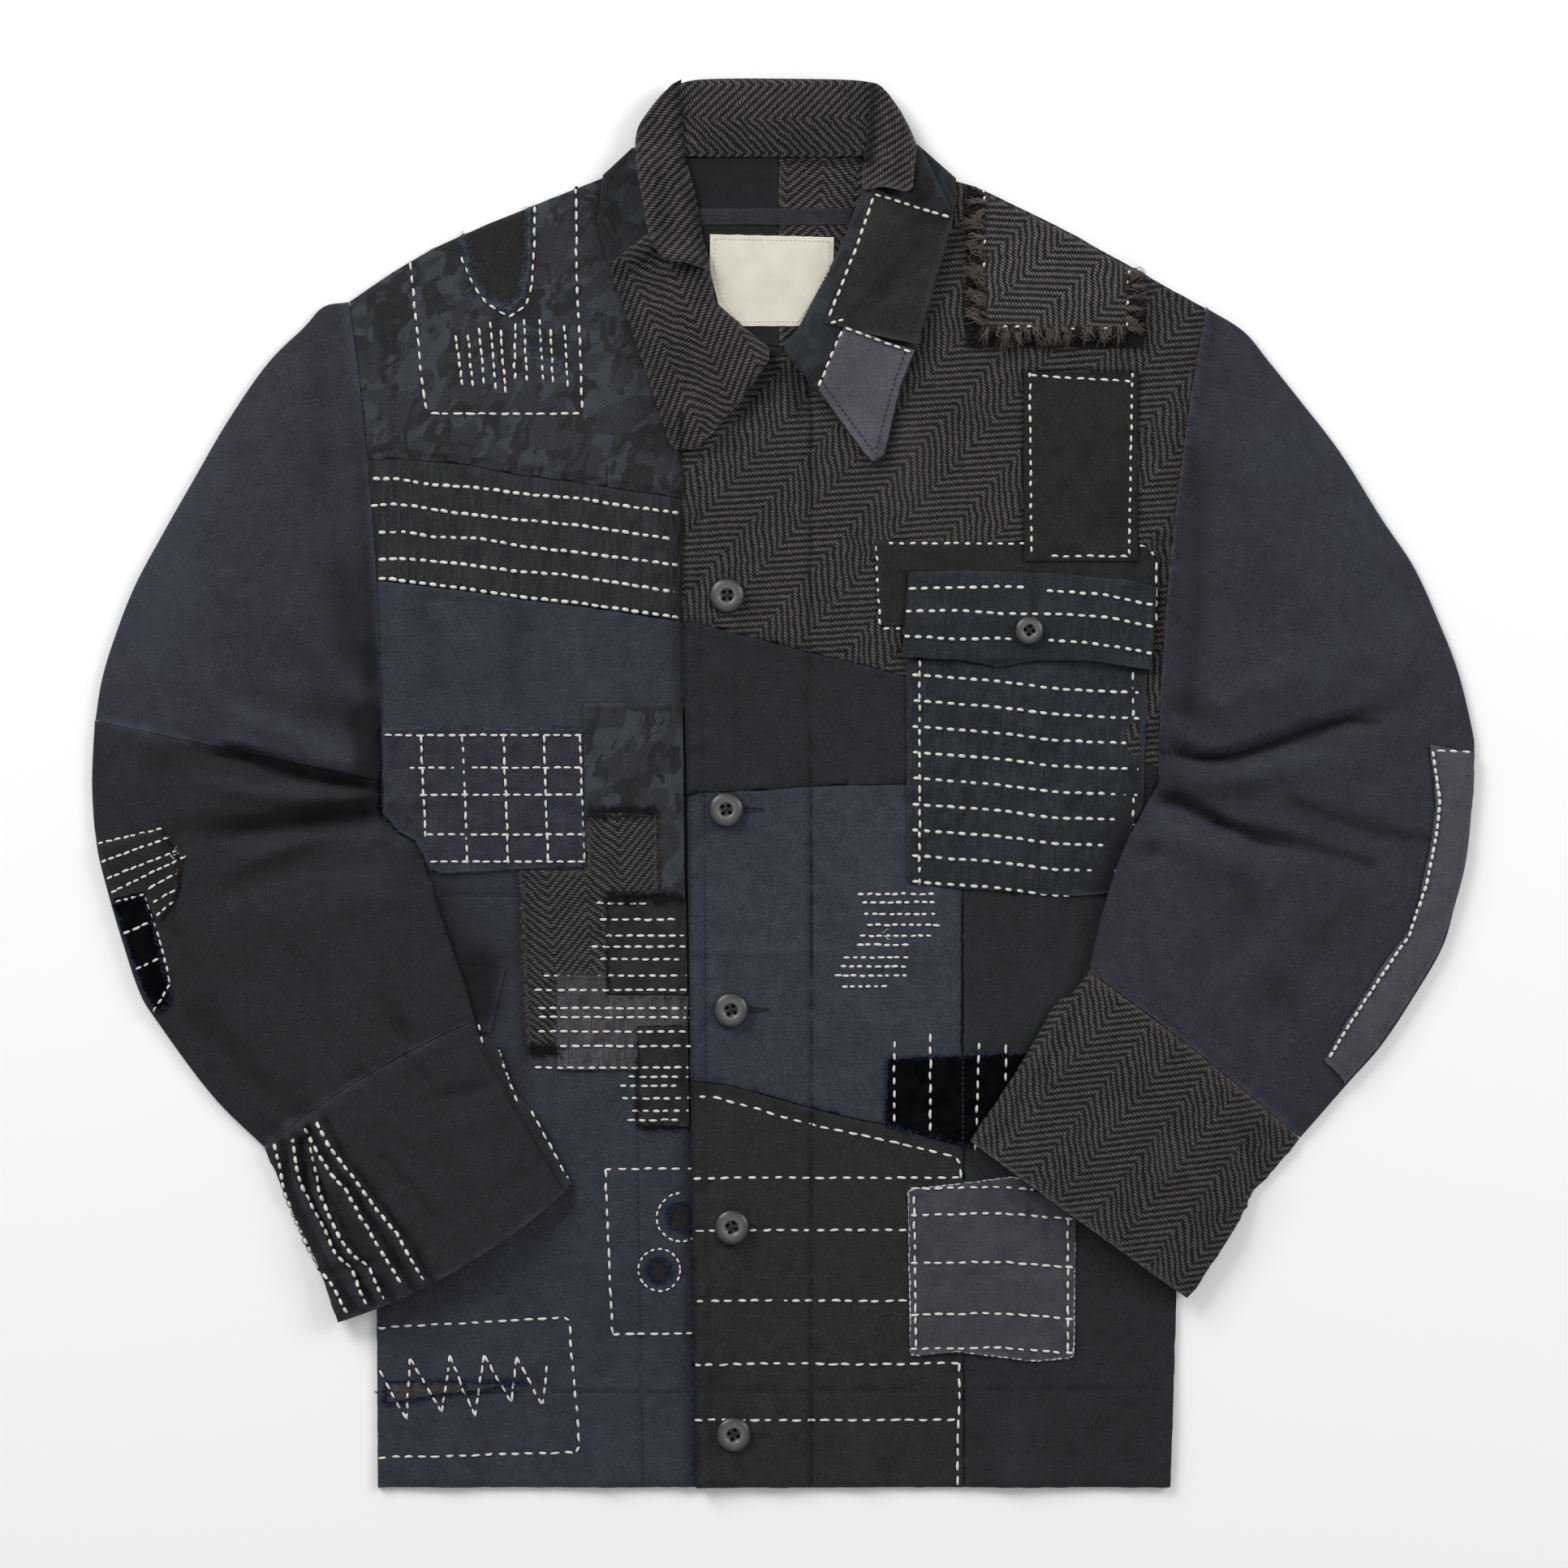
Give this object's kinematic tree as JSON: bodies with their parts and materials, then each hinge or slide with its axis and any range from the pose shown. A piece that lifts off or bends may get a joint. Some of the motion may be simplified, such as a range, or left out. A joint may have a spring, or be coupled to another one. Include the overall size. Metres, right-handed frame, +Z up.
{
  "type": "patched boro jacket",
  "caption": "Button-front boro jacket laid flat: navy, black and camouflage panels, herringbone tweed, frayed patches and pale running stitches, sleeves folded in",
  "frame": {"origin": "middle of the laid-out jacket's outline, on the surface it lies on", "axes": "+Z up from the surface, +Y from the hem towards the collar, +X towards the viewer's right, which is the wearer's left"},
  "size_m": [0.7659, 0.7799, 0.0192],
  "materials": {
    "navy_twill": "brushed cotton twill",
    "black_twill": "cotton twill",
    "slate_navy": "plain cotton",
    "tonal_camouflage": "printed cotton",
    "herringbone_tweed": "wool herringbone",
    "brown_black_cotton": "washed cotton",
    "grey_cotton": "plain cotton",
    "mauve_grey_cotton": "puckered cotton",
    "blue_black_velvet": "velvet pile",
    "grey_button": "satin",
    "cream_label": "woven tape"
  },
  "bodies": {
    "root": {"back_panel": "black_twill", "backing_slit": "brown_black_cotton", "backing_spot_1": "brown_black_cotton", "backing_spot_2": "brown_black_cotton", "backing_yoke": "black_twill", "button_1": "grey_button", "button_2": "grey_button", "button_3": "grey_button", "button_4": "grey_button", "button_5": "grey_button", "button_pocket": "grey_button", "collar_back": "herringbone_tweed", "collar_leaf_l": "herringbone_tweed", "collar_leaf_l_camo": "tonal_camouflage", "collar_leaf_r": "tonal_camouflage", "collar_r_camo_strip": "tonal_camouflage", "collar_r_patch_brown": "brown_black_cotton", "collar_r_patch_grey": "grey_cotton", "collar_upper_l": "herringbone_tweed", "collar_upper_r": "herringbone_tweed", "cuff_l": "black_twill", "cuff_r": "herringbone_tweed", "front_l_band": "black_twill", "front_l_panel": "navy_twill", "front_l_yoke": "tonal_camouflage", "front_r_lower": "brown_black_cotton", "front_r_mid": "black_twill", "front_r_side": "black_twill", "front_r_slate": "slate_navy", "front_r_upper": "herringbone_tweed", "neck_label": "cream_label", "neck_lining_l": "black_twill", "neck_lining_r": "herringbone_tweed", "neck_tape": "navy_twill", "patch_l_brown_lower": "brown_black_cotton", "patch_l_brown_upper": "brown_black_cotton", "patch_l_camo": "tonal_camouflage", "patch_l_grid": "navy_twill", "patch_l_mauve": "mauve_grey_cotton", "patch_l_tweed": "herringbone_tweed", "patch_r_behind_flap": "brown_black_cotton", "patch_r_grey": "grey_cotton", "patch_r_tall": "brown_black_cotton", "patch_r_velvet": "blue_black_velvet", "patch_shoulder": "herringbone_tweed", "patch_shoulder_fringe": "black_twill", "patch_sleeve_l_brown": "brown_black_cotton", "patch_sleeve_l_velvet": "blue_black_velvet", "patch_sleeve_r_elbow": "grey_cotton", "pocket_bag": "navy_twill", "pocket_flap": "navy_twill", "sleeve_l_lower": "black_twill", "sleeve_l_upper": "navy_twill", "sleeve_r": "navy_twill", "welt_l": "black_twill"}
  },
  "joints": []
}
